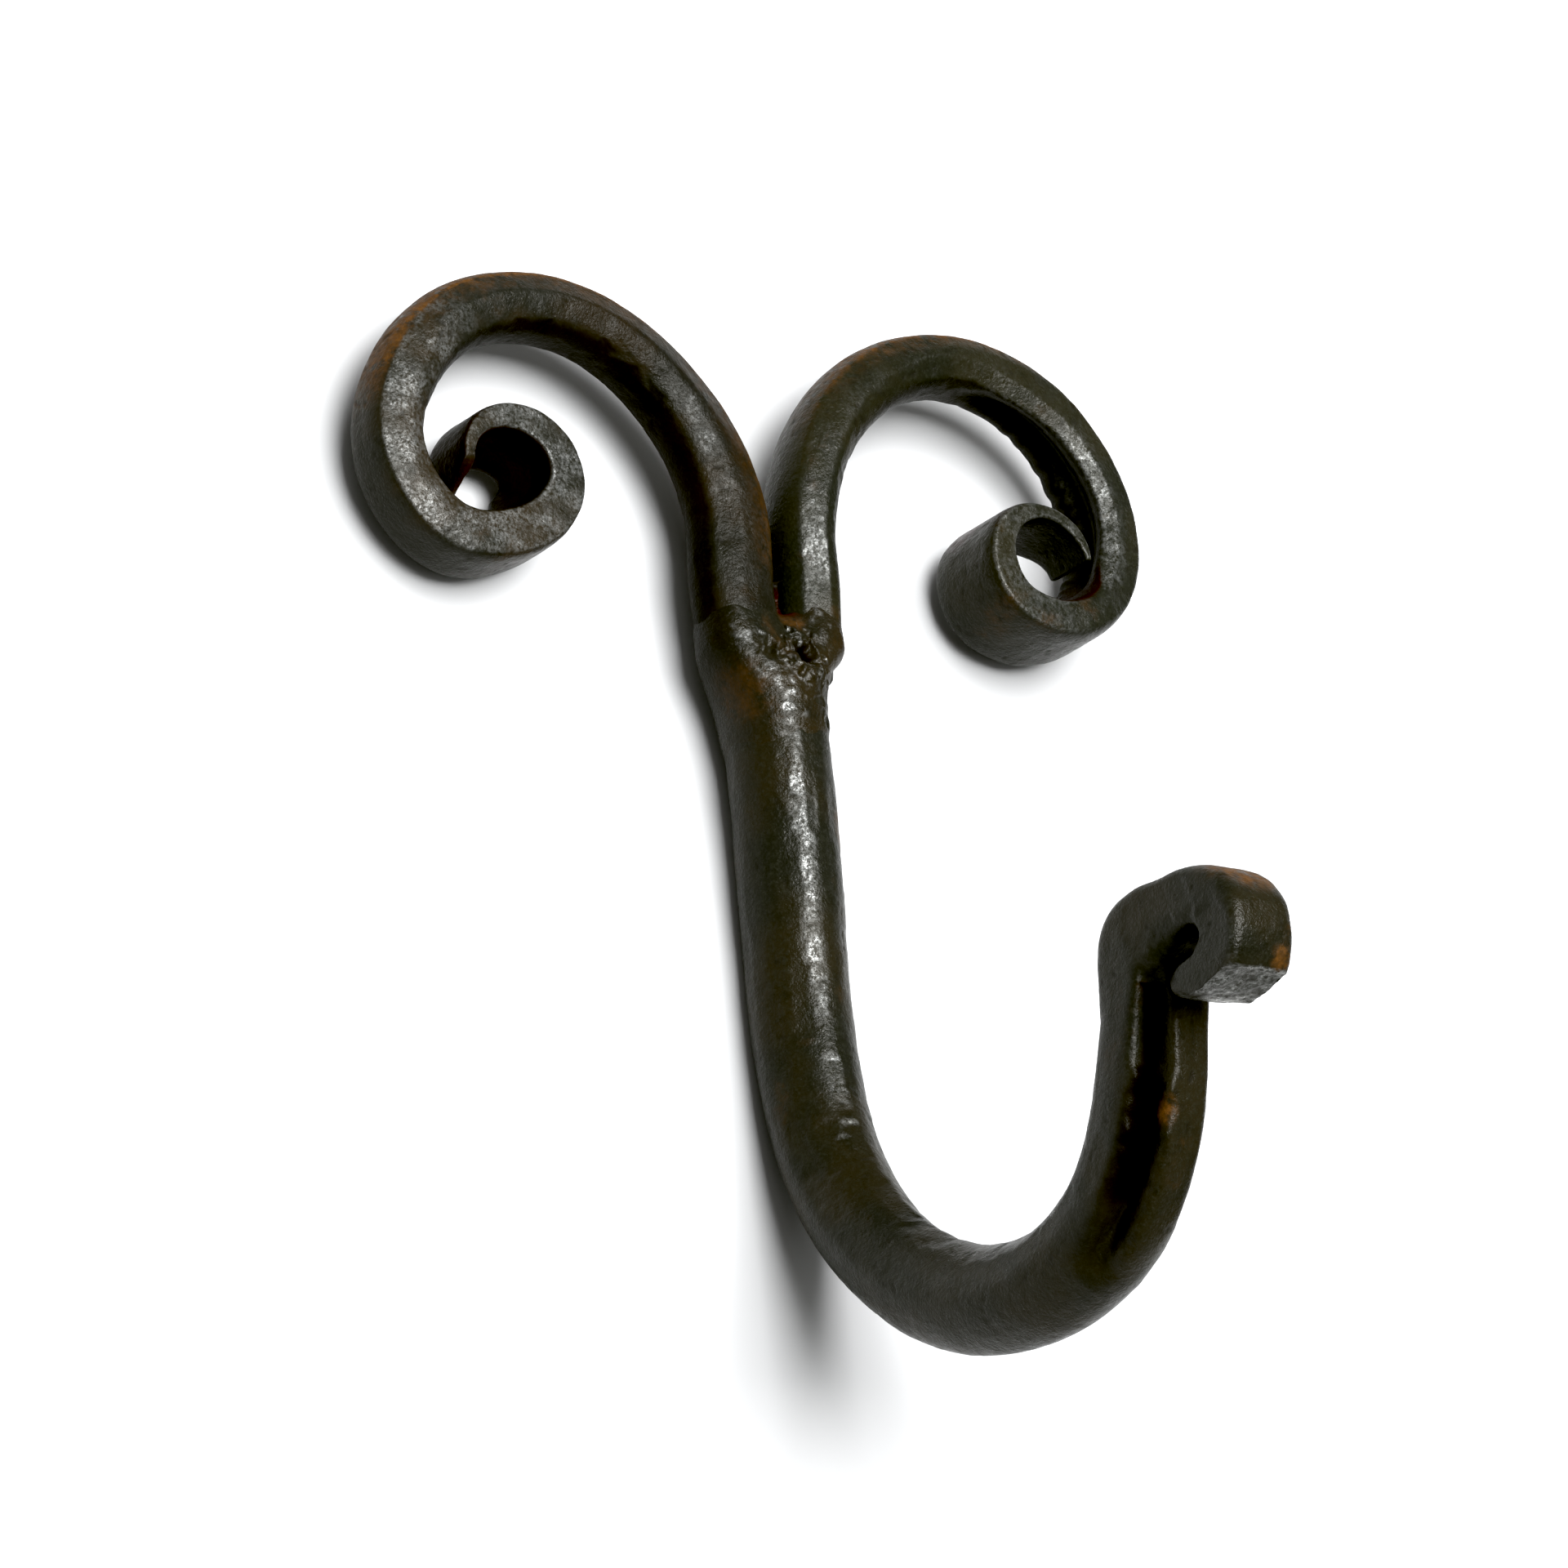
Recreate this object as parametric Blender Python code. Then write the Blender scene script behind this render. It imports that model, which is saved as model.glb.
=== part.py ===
"""Hand-forged wall hook of the holdback kind: a round-bar J hook whose tip is
rolled outwards, and two ram's-horn scrolls that end in nail or screw eyes.

Three forged bars and the weld that joins them at the fork.  Frame: +Z up,
+X to the right seen from the room, +Y into the wall.  The wall is the plane
Y = 0 and the origin is on it, behind the shank, on the shank's flat.
"""
import bpy
import bmesh
import math
import numpy as np

MM = 0.001                 # the constants below are in millimetres and degrees

# ---- driving dimensions -------------------------------------------------
BAR_D = 10.0               # round stock of the shank and the J
WALL = 4.7                 # the wall plane lies this far behind the shank's axis
SHANK_TOP = 4.0            # height of the shank's upper end above the origin
LEFT_SEAT = 1.75           # front of the left eye, in front of the shank's axis
RIGHT_SEAT = 4.7           # front of the right eye
GAP = 0.3                  # room kept between bars and weld metal
ARRIS = 0.5                # what the broken edge of an end adds to its length

# J hook: direction of the bar (degrees, in the plane through shank and wall
# normal; -90 is straight down) against the length from its upper end
J_HEADING = [(0, -90), (34, -88), (46, -73), (57, -51.5), (68, -33), (76, -17.5),
             (85, 0), (94, 25.5), (102, 54.5), (110, 72.5), (115, 74)]
J_THICK = [(0, 5.0), (60, 5.1), (85, 5.05), (100, 5.1), (108, 4.9), (115, 4.1)]
J_WIDE = [(0, 5.0), (60, 5.05), (100, 5.0), (110, 4.75), (115, 4.65)]
J_SQUARE = [(0, 2.0), (98, 2.0), (115, 2.5)]
J_END = 110.6              # the arm proper stops here and the curl begins

# Curl at the tip, station by station: outer skin and inner skin as
# (distance out from the shank's axis, height), then half width and squareness
CURL = [
    ((46.9, -42.6), (54.1, -44.2), 4.60, 2.6),
    ((47.6, -39.6), (54.7, -42.9), 4.50, 2.8),
    ((49.2, -37.2), (55.3, -42.1), 4.40, 3.0),
    ((51.6, -35.6), (56.1, -41.5), 4.30, 3.2),
    ((54.5, -34.8), (57.2, -41.0), 4.20, 3.4),
    ((57.5, -34.7), (58.4, -40.7), 4.10, 3.6),
    ((60.5, -35.5), (59.4, -40.6), 4.00, 3.8),
    ((63.1, -37.1), (60.1, -40.9), 3.90, 4.0),
    ((64.9, -39.4), (60.3, -41.5), 3.80, 4.0),
    ((65.4, -42.0), (60.0, -42.1), 3.70, 4.2),
    ((64.3, -44.4), (59.3, -42.6), 3.60, 4.2),
    ((62.2, -46.1), (58.3, -42.8), 3.55, 4.2),
    ((59.8, -46.7), (57.4, -42.9), 3.50, 4.2),
    ((57.7, -46.0), (56.7, -43.1), 3.45, 4.0),
]
NOSE = ((56.3, -45.3), (56.1, -43.9), 3.2, 3.0)

# Horns: centre of the eye, then centre-line radius, half thickness, half
# width across the strip, distance out of the strip's middle and squareness,
# all against the turn angle (0 on the shank's side, 90 over the top)
LEFT = dict(
    side=1, centre=(-28.4, 22.9), seat=LEFT_SEAT,
    radius=[(-33.5, 30.2), (-20, 26.8), (0, 25.5), (45, 21.4), (90, 16.5), (135, 13.0),
            (180, 11.7), (225, 9.8), (270, 6.8), (315, 6.05), (360, 6.2), (450, 4.7), (545, 4.9)],
    thick=[(-33.5, 4.3), (0, 4.2), (45, 3.35), (90, 3.3), (135, 3.3), (180, 2.85),
           (270, 2.5), (360, 2.1), (450, 1.45), (545, 0.65)],
    wide=[(-33.5, 3.4), (0, 3.45), (90, 3.6), (180, 3.35), (230, 3.4), (545, 3.4)],
    out=[(-33.5, 0.0), (0, -0.4), (90, -1.0), (180, -1.55), (230, -1.5), (545, -1.5)],
    square=[(-33.5, 2.0), (0, 2.2), (90, 2.8), (180, 3.6), (270, 4.5), (545, 5.0)])
RIGHT = dict(
    side=-1, centre=(32.1, 21.3), seat=RIGHT_SEAT,
    radius=[(-28.5, 31.4), (-24, 29.9), (-13, 27.6), (0, 26.8), (45, 23.8), (90, 19.75), (135, 14.1),
            (180, 9.9), (225, 7.3), (270, 6.1), (315, 5.95), (360, 5.4), (450, 4.6), (535, 4.9)],
    thick=[(-28.5, 3.25), (0, 3.2), (45, 3.3), (90, 2.65), (135, 2.1), (180, 2.2),
           (270, 2.05), (360, 1.65), (450, 0.85), (535, 0.75)],
    wide=[(-28.5, 3.6), (0, 4.1), (90, 3.85), (135, 4.5), (180, 4.75), (225, 4.9), (535, 4.9)],
    out=[(-28.5, -0.2), (0, 0.1), (90, 0.0), (135, -0.1), (180, -0.1), (225, 0.0), (535, 0.0)],
    square=[(-28.5, 2.0), (0, 2.1), (90, 2.4), (180, 3.2), (270, 4.5), (535, 5.0)])

# Weld metal at the fork: height, sideways shift, half width, half depth
WELD = [(3.0, 0.0, 5.9, 5.7), (4.6, 0.1, 6.5, 6.0), (6.5, 0.5, 7.9, 5.9),
        (8.5, 0.7, 9.0, 5.4), (9.6, 0.7, 9.1, 4.9), (10.5, 0.7, 8.7, 4.5)]
# and the run of it that climbs the front of the crotch
CROTCH = [(9.2, 1.4, 2.8, 2.6), (11.0, 1.5, 2.0, 2.2), (12.4, 1.6, 1.4, 1.6), (13.4, 1.7, 0.8, 0.9)]
CROTCH_OUT = 2.3

IRON = (0.050, 0.045, 0.037, 1.0)
IRON_WORN = (0.075, 0.070, 0.062, 1.0)
WELD_METAL = (0.060, 0.048, 0.038, 1.0)


# ---- geometry -----------------------------------------------------------
def smooth(keys, t):
    """Cubic curve through (parameter, value) keys."""
    k = np.array([q[0] for q in keys], float)
    v = np.array([q[1] for q in keys], float)
    d = np.diff(v) / np.diff(k)
    m = np.empty_like(v)
    m[0], m[-1] = d[0], d[-1]
    for i in range(1, len(v) - 1):
        h0, h1 = k[i] - k[i - 1], k[i + 1] - k[i]
        m[i] = (d[i - 1] * h1 + d[i] * h0) / (h0 + h1)
    t = np.clip(np.asarray(t, float), k[0], k[-1])
    i = np.clip(np.searchsorted(k, t, side='right') - 1, 0, len(k) - 2)
    h = k[i + 1] - k[i]
    s = (t - k[i]) / h
    return ((2*s**3 - 3*s**2 + 1) * v[i] + (s**3 - 2*s**2 + s) * h * m[i]
            + (-2*s**3 + 3*s**2) * v[i + 1] + (s**3 - s**2) * h * m[i + 1])


def ring(centre, across, along, thick, wide, square, count, low=-1e9, high=1e9):
    """One section of a bar: a superellipse from round (2) to squared (5),
    flattened where the hammer or the wall stops it.  Points are (x, out, z)."""
    t = 2 * math.pi * np.arange(count) / count
    e = 2.0 / square
    c = np.sign(np.cos(t)) * np.abs(np.cos(t)) ** e
    s = np.sign(np.sin(t)) * np.abs(np.sin(t)) ** e
    p = centre + thick * c[:, None] * across + wide * s[:, None] * along
    p[:, 1] = np.clip(p[:, 1], low, high)
    return p


def horn_rings(h, stations, count, grow=0.0, upto=None):
    first, last = h['radius'][0][0], h['radius'][-1][0]
    if upto is not None:
        last = upto
    th = np.linspace(first, last, 1600)
    r = smooth(h['radius'], th)
    x = h['centre'][0] + h['side'] * r * np.cos(np.radians(th))
    z = h['centre'][1] + r * np.sin(np.radians(th))
    run = np.r_[0, np.cumsum(np.hypot(np.diff(x), np.diff(z)) / np.sqrt(r[1:]))]
    q = np.interp(np.linspace(0, run[-1], stations), run, th)
    xs, zs = np.interp(q, th, x), np.interp(q, th, z)
    tx = np.interp(q, th, np.gradient(x, th))
    tz = np.interp(q, th, np.gradient(z, th))
    n = np.hypot(tx, tz)
    tx, tz = tx / n, tz / n
    if grow:
        xs[0] -= tx[0] * (grow + ARRIS)
        zs[0] -= tz[0] * (grow + ARRIS)
    rings = []
    low = -WALL - (grow if grow else 0.0)
    for i in range(stations):
        across = np.array([tz[i], 0.0, -tx[i]]) * h['side']
        rings.append(ring(np.array([xs[i], float(smooth(h['out'], q[i])), zs[i]]), across,
                          np.array([0.0, 1.0, 0.0]),
                          float(smooth(h['thick'], q[i])) + grow,
                          float(smooth(h['wide'], q[i])) + grow,
                          float(smooth(h['square'], q[i])), count, low,
                          h['seat'] if not grow else 1e9))
    return rings


def hook_rings(count, grow=0.0, top_only=False):
    s = np.linspace(0, J_HEADING[-1][0], 1400)
    a = np.radians(smooth(J_HEADING, s))
    step = s[1] - s[0]
    mid = (a[1:] + a[:-1]) / 2
    n = np.r_[0, np.cumsum(np.cos(mid) * step)]
    z = SHANK_TOP + np.r_[0, np.cumsum(np.sin(mid) * step)]
    if top_only:
        q = np.array([0.0, 8.0])
    else:
        q = np.r_[np.linspace(0, 30, 5), np.linspace(34, J_END, 31)]
    rings = []
    for i, v in enumerate(q):
        h = float(smooth(J_HEADING, v))
        c, d = math.cos(math.radians(h)), math.sin(math.radians(h))
        centre = np.array([0.0, np.interp(v, s, n), np.interp(v, s, z)])
        if grow and i == 0:
            centre[2] += grow + ARRIS
        across = np.array([0.0, -d, c])          # towards the inside of the J
        rings.append(ring(centre, across, np.array([1.0, 0.0, 0.0]),
                          float(smooth(J_THICK, v)) + grow, float(smooth(J_WIDE, v)) + grow,
                          float(smooth(J_SQUARE, v)), count,
                          -1e9 if grow else -WALL))
    if top_only:
        return rings
    k = np.arange(len(CURL), dtype=float)
    t = np.linspace(0, len(CURL) - 1, 27)
    col = lambda f: smooth(list(zip(k, [f(c) for c in CURL])), t)
    outer = np.stack([col(lambda c: c[0][0]), col(lambda c: c[0][1])], 1)
    inner = np.stack([col(lambda c: c[1][0]), col(lambda c: c[1][1])], 1)
    wide, square = col(lambda c: c[2]), col(lambda c: c[3])
    outer = np.vstack([outer, NOSE[0]])
    inner = np.vstack([inner, NOSE[1]])
    wide, square = np.r_[wide, NOSE[2]], np.r_[square, NOSE[3]]
    for o, i, w, p in zip(outer, inner, wide, square):
        half = (o - i) / 2
        thick = float(np.hypot(*half))
        mid = (o + i) / 2
        across = np.array([0.0, half[0] / thick, half[1] / thick])
        rings.append(ring(np.array([0.0, mid[0], mid[1]]), across, np.array([1.0, 0.0, 0.0]),
                          thick, float(w), float(p), count))
    return rings


def loft(name, rings, collection, round_start=0.0, round_end=0.0):
    """Closed body through a list of sections with the same number of points."""
    rings = [r.copy() for r in rings]

    def shut(r, toward, amount):
        # one smaller section just beyond the end breaks the arris
        c = r.mean(0)
        d = c - toward.mean(0)
        d /= np.linalg.norm(d)
        return c + (r - c) * (1 - amount / np.abs(r - c).max()) + d * amount * 0.6

    if round_start:
        rings.insert(0, shut(rings[0], rings[1], round_start))
    if round_end:
        rings.append(shut(rings[-1], rings[-2], round_end))
    bm = bmesh.new()
    rows = [[bm.verts.new((p[0] * MM, -(p[1] + WALL) * MM, p[2] * MM)) for p in r] for r in rings]
    n = len(rows[0])
    for a, b in zip(rows[:-1], rows[1:]):
        for i in range(n):
            j = (i + 1) % n
            bm.faces.new((a[i], a[j], b[j], b[i]))
    bm.faces.new(rows[0])
    bm.faces.new(rows[-1])
    bmesh.ops.recalc_face_normals(bm, faces=bm.faces)
    mesh = bpy.data.meshes.new(name)
    bm.to_mesh(mesh)
    bm.free()
    mesh.shade_smooth()
    mesh.set_sharp_from_angle(angle=math.radians(40))
    obj = bpy.data.objects.new(name, mesh)
    collection.objects.link(obj)
    return obj


def material(name, colour, rough, metal):
    m = bpy.data.materials.new(name)
    m.use_nodes = True
    b = m.node_tree.nodes['Principled BSDF']
    b.inputs['Base Color'].default_value = colour
    b.inputs['Roughness'].default_value = rough
    b.inputs['Metallic'].default_value = metal
    return m


def boolean(obj, cutter, operation):
    cutter.hide_render = True
    cutter.display_type = 'WIRE'
    mod = obj.modifiers.new(operation.lower() + '_' + cutter.name, 'BOOLEAN')
    mod.operation = operation
    mod.solver = 'EXACT'
    mod.object = cutter


def weld_rings(rows, count, out=0.0):
    return [ring(np.array([x, out, z]), np.array([1.0, 0, 0]), np.array([0, 1.0, 0]),
                 ax, an, 2.3, count, low=-WALL + 0.05) for z, x, ax, an in rows]


def build():
    for obj in list(bpy.data.objects):
        bpy.data.objects.remove(obj, do_unlink=True)
    parts = bpy.data.collections.new('scroll_wall_hook')
    cutters = bpy.data.collections.new('cutters')
    bpy.context.scene.collection.children.link(parts)
    bpy.context.scene.collection.children.link(cutters)

    hook = loft('hook_shank', hook_rings(24), parts, round_start=0.8, round_end=0.0)
    left = loft('left_horn', horn_rings(LEFT, 60, 20), parts, 0.5, 0.25)
    right = loft('right_horn', horn_rings(RIGHT, 60, 20), parts, 0.5, 0.25)

    weld = loft('fork_weld', weld_rings(WELD, 28), parts)
    crotch = loft('crotch_run', weld_rings(CROTCH, 16, CROTCH_OUT), cutters)
    boolean(weld, crotch, 'UNION')
    for name, rings in (('shank_room', hook_rings(24, GAP, True)),
                        ('left_room', horn_rings(LEFT, 12, 20, GAP, 8)),
                        ('right_room', horn_rings(RIGHT, 12, 20, GAP, 8))):
        boolean(weld, loft(name, rings, cutters), 'DIFFERENCE')

    iron = material('forged_iron', IRON, 0.46, 0.85)
    worn = material('worn_iron', IRON_WORN, 0.42, 0.85)
    bead = material('weld_metal', WELD_METAL, 0.55, 0.8)
    for obj, m in ((hook, iron), (left, worn), (right, worn), (weld, bead)):
        obj.data.materials.append(m)


build()
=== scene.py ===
"""Look of the hand-forged wall hook: a round-bar J hook with a rolled tip and
two ram's-horn scrolls, forge welded at the fork, lying on a pale surface that
stands for the wall.  Every CAD node is replaced by a finer mesh of the same
bar, with hammer flats, pits, weld beads, cut marks and cracks in its shape."""
import bpy
import math
import numpy as np
from mathutils import Matrix, Vector


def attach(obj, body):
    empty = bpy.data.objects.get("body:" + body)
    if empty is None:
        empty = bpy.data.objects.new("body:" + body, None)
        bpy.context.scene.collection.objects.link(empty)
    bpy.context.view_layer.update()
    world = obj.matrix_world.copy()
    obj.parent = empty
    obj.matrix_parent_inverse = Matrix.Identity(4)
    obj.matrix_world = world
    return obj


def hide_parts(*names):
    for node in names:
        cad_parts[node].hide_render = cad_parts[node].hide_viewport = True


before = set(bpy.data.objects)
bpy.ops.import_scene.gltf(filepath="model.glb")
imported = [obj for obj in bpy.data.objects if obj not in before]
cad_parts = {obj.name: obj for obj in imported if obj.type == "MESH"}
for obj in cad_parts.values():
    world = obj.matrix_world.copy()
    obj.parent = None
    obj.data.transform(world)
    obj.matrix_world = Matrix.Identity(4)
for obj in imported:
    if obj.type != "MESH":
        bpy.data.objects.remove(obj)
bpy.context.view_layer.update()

MM = 0.001

# ======================================================================
#  Camera: it looks at the wall from the room's lower left, slightly rolled
# ======================================================================
WALL = 4.7
RIGHT_AXIS = Vector((0.808, -0.580, -0.104)).normalized()
UP_AXIS = Vector((-0.1217, -0.337, 0.934))
UP_AXIS = (UP_AXIS - RIGHT_AXIS * UP_AXIS.dot(RIGHT_AXIS)).normalized()
BACK_AXIS = RIGHT_AXIS.cross(UP_AXIS)
cam_data = bpy.data.cameras.new("camera")
cam_data.lens = 195.0
cam_data.sensor_width = 36.0
cam_data.clip_start, cam_data.clip_end = 0.05, 20.0
cam = bpy.data.objects.new("camera", cam_data)
bpy.context.scene.collection.objects.link(cam)
eye = (Vector((0, -WALL, 0)) + RIGHT_AXIS * 0.769 - UP_AXIS * 4.615 + BACK_AXIS * 800.0) * MM
cam.matrix_world = Matrix((
    (RIGHT_AXIS.x, UP_AXIS.x, BACK_AXIS.x, eye.x),
    (RIGHT_AXIS.y, UP_AXIS.y, BACK_AXIS.y, eye.y),
    (RIGHT_AXIS.z, UP_AXIS.z, BACK_AXIS.z, eye.z),
    (0, 0, 0, 1)))
bpy.context.scene.camera = cam

# ======================================================================
#  Driving dimensions, as in the CAD source (millimetres and degrees)
# ======================================================================
SHANK_TOP = 4.0
J_HEADING = [(0, -90), (34, -88), (46, -73), (57, -51.5), (68, -33), (76, -17.5),
             (85, 0), (94, 25.5), (102, 54.5), (110, 72.5), (115, 74)]
J_THICK = [(0, 5.0), (60, 5.1), (85, 5.05), (100, 5.1), (108, 4.9), (115, 4.1)]
J_WIDE = [(0, 5.0), (60, 5.05), (100, 5.0), (110, 4.75), (115, 4.65)]
J_SQUARE = [(0, 2.0), (98, 2.0), (115, 2.5)]
J_END = 110.6
CURL = [
    ((45.1, -44.7), (53.7, -46.7), 4.60, 2.4),
    ((45.7, -42.1), (54.0, -44.4), 4.45, 3.1),
    ((46.2, -39.2), (54.3, -42.9), 4.35, 3.6),
    ((47.2, -36.5), (54.9, -41.8), 4.25, 4.0),
    ((49.3, -34.6), (55.8, -41.0), 4.15, 4.0),
    ((52.3, -34.0), (57.0, -40.5), 4.05, 3.8),
    ((55.4, -34.1), (58.1, -40.3), 3.95, 3.8),
    ((58.6, -34.2), (59.1, -40.3), 3.85, 4.0),
    ((61.8, -35.0), (59.8, -40.5), 3.75, 4.2),
    ((64.1, -36.5), (60.1, -40.9), 3.70, 4.4),
    ((65.6, -38.8), (60.2, -41.3), 3.65, 4.6),
    ((65.9, -41.0), (60.1, -41.8), 3.60, 5.0),
    ((65.5, -43.2), (59.8, -42.2), 3.60, 6.0),
    ((64.6, -45.1), (59.3, -42.6), 3.55, 7.0),
    ((63.0, -46.6), (58.5, -42.7), 3.50, 7.0),
    ((60.8, -47.0), (57.6, -42.8), 3.50, 7.0),
    ((58.8, -46.6), (56.8, -42.9), 3.45, 6.0),
]
NOSE = ((56.6, -45.6), (56.0, -43.3), 3.3, 4.5)
LEFT = dict(
    side=1, centre=(-28.4, 22.9), seat=1.75,
    radius=[(-33.5, 30.2), (-20, 26.8), (0, 25.5), (45, 21.4), (90, 16.5), (135, 13.0),
            (180, 11.7), (225, 9.8), (270, 6.8), (315, 6.05), (360, 6.2), (450, 4.7), (545, 4.9), (578, 5.0)],
    thick=[(-33.5, 4.3), (0, 4.2), (45, 3.35), (90, 3.3), (135, 3.3), (180, 2.85),
           (270, 2.5), (360, 2.1), (450, 1.45), (545, 0.65)],
    wide=[(-33.5, 3.4), (0, 3.45), (90, 3.6), (180, 3.35), (230, 3.4), (545, 3.4)],
    out=[(-33.5, 0.0), (0, -0.4), (90, -1.0), (180, -1.55), (230, -1.5), (545, -1.5)],
    square=[(-33.5, 2.0), (0, 2.05), (90, 2.2), (150, 2.5), (190, 3.2), (230, 4.2), (545, 5.0)],
    front=[(-33.5, 4.2), (0, 3.6), (60, 2.75), (110, 2.3), (160, 2.0), (210, 1.75), (545, 1.75)])
RIGHT = dict(
    side=-1, centre=(32.1, 21.3), seat=4.7,
    radius=[(-28.5, 31.4), (-24, 29.9), (-13, 27.6), (0, 26.8), (45, 23.8), (90, 19.75), (135, 14.1),
            (180, 9.9), (225, 7.3), (270, 6.1), (315, 5.95), (360, 5.4), (450, 4.6), (535, 4.9)],
    thick=[(-28.5, 3.25), (0, 3.2), (45, 3.3), (90, 2.65), (135, 2.1), (180, 2.2),
           (270, 2.05), (360, 1.65), (450, 0.85), (520, 0.6), (535, 0.35)],
    wide=[(-28.5, 3.6), (0, 4.1), (90, 3.85), (135, 4.5), (180, 4.75), (225, 4.9), (535, 4.9)],
    out=[(-28.5, -0.2), (0, 0.1), (90, 0.0), (135, -0.1), (180, -0.1), (225, 0.0), (535, 0.0)],
    square=[(-28.5, 2.0), (0, 2.1), (90, 2.3), (180, 3.0), (230, 4.2), (535, 5.0)],
    front=[(-28.5, 4.7), (535, 4.7)])


# ======================================================================
#  Numbers: curves through keys, steps and solid noise
# ======================================================================
def smooth(keys, t):
    """Cubic curve through (parameter, value) keys."""
    k = np.array([q[0] for q in keys], float)
    v = np.array([q[1] for q in keys], float)
    d = np.diff(v) / np.diff(k)
    m = np.empty_like(v)
    m[0], m[-1] = d[0], d[-1]
    for i in range(1, len(v) - 1):
        h0, h1 = k[i] - k[i - 1], k[i + 1] - k[i]
        m[i] = (d[i - 1] * h1 + d[i] * h0) / (h0 + h1)
    t = np.clip(np.asarray(t, float), k[0], k[-1])
    i = np.clip(np.searchsorted(k, t, side='right') - 1, 0, len(k) - 2)
    h = k[i + 1] - k[i]
    s = (t - k[i]) / h
    return ((2*s**3 - 3*s**2 + 1) * v[i] + (s**3 - 2*s**2 + s) * h * m[i]
            + (-2*s**3 + 3*s**2) * v[i + 1] + (s**3 - s**2) * h * m[i + 1])


def step(lo, hi, v):
    s = np.clip((np.asarray(v, float) - lo) / (hi - lo), 0, 1)
    return s * s * (3 - 2 * s)


def window(v, a, b, soft):
    """1 between a and b, falling to 0 over soft outside."""
    return step(a - soft, a, v) * (1 - step(b, b + soft, v))


def lattice(i, j, k, seed):
    h = (i.astype(np.uint32) * np.uint32(0x9E3779B1)) ^ (j.astype(np.uint32) * np.uint32(0x85EBCA77)) \
        ^ (k.astype(np.uint32) * np.uint32(0xC2B2AE3D))
    h = h + np.uint32((seed * 0x27D4EB2F) & 0xffffffff)
    h ^= h >> np.uint32(15)
    h = h * np.uint32(0x2C1B3C6D)
    h ^= h >> np.uint32(12)
    h = h * np.uint32(0x297A2D39)
    h ^= h >> np.uint32(15)
    return h


GRADS = np.array([(1, 1, 0), (-1, 1, 0), (1, -1, 0), (-1, -1, 0), (1, 0, 1), (-1, 0, 1), (1, 0, -1),
                  (-1, 0, -1), (0, 1, 1), (0, -1, 1), (0, 1, -1), (0, -1, -1), (1, 1, 0), (-1, 1, 0),
                  (0, -1, 1), (0, -1, -1)], float)


def noise(p, size, seed=0):
    """Gradient noise, about -1 to 1, of points in mm; size is the lattice in mm."""
    with np.errstate(over='ignore'):
        shape = p.shape[:-1]
        q = p.reshape(-1, 3) / size + 1000.37 + seed * 7.13
        f = np.floor(q)
        c = f.astype(np.int64)
        f = q - f
        w = f * f * f * (f * (f * 6 - 15) + 10)
        out = np.zeros(len(q))
        for a in (0, 1):
            wa = w[:, 0] if a else 1 - w[:, 0]
            for b in (0, 1):
                wb = wa * (w[:, 1] if b else 1 - w[:, 1])
                for d in (0, 1):
                    wd = wb * (w[:, 2] if d else 1 - w[:, 2])
                    g = GRADS[lattice(c[:, 0] + a, c[:, 1] + b, c[:, 2] + d, seed) & np.uint32(15)]
                    out += wd * ((f[:, 0] - a) * g[:, 0] + (f[:, 1] - b) * g[:, 1] + (f[:, 2] - d) * g[:, 2])
    return out.reshape(shape)


def fbm(p, size, octaves, seed=0, gain=0.5):
    total, amp = 0.0, 1.0
    for o in range(octaves):
        total = total + amp * noise(p, size / 2 ** o, seed + o)
        amp *= gain
    return total


# ======================================================================
#  Bars as grids of points (stations x around x 3), (x, out, z) in mm
# ======================================================================
def section(thick, wide, square, fine=360):
    t = 2 * math.pi * np.arange(fine) / fine
    e = 2.0 / square
    c = np.sign(np.cos(t)) * np.abs(np.cos(t)) ** e
    s = np.sign(np.sin(t)) * np.abs(np.sin(t)) ** e
    return np.stack([thick * c, wide * s], 1)


def spread(loop, count):
    """The closed loop's points, evenly spaced; the first stays first."""
    closed = np.vstack([loop, loop[:1]])
    d = np.linalg.norm(np.diff(closed, axis=0), axis=1)
    s = np.r_[0, np.cumsum(d)]
    q = np.linspace(0, s[-1], count, endpoint=False)
    return np.stack([np.interp(q, s, closed[:, k]) for k in range(loop.shape[1])], 1)


def flat_cut(ab, angle, height, soft=0.18):
    """Presses a section's points down to a flat that faces angle, with a softly broken edge."""
    n = np.array([math.cos(math.radians(angle)), math.sin(math.radians(angle))])
    over = ab @ n - height
    press = np.where(over > soft, over - soft * 0.5, np.where(over > 0, over * over / (2 * soft), 0.0))
    return ab - press[:, None] * n


def shave(ab, angle, depth, soft=0.3):
    """A hammered facet: a flat facing the given angle, the given depth below the section's outermost point that way."""
    u = np.array([math.cos(math.radians(angle)), math.sin(math.radians(angle))])
    return flat_cut(ab, angle, float((ab @ u).max()) - depth, soft)


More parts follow.
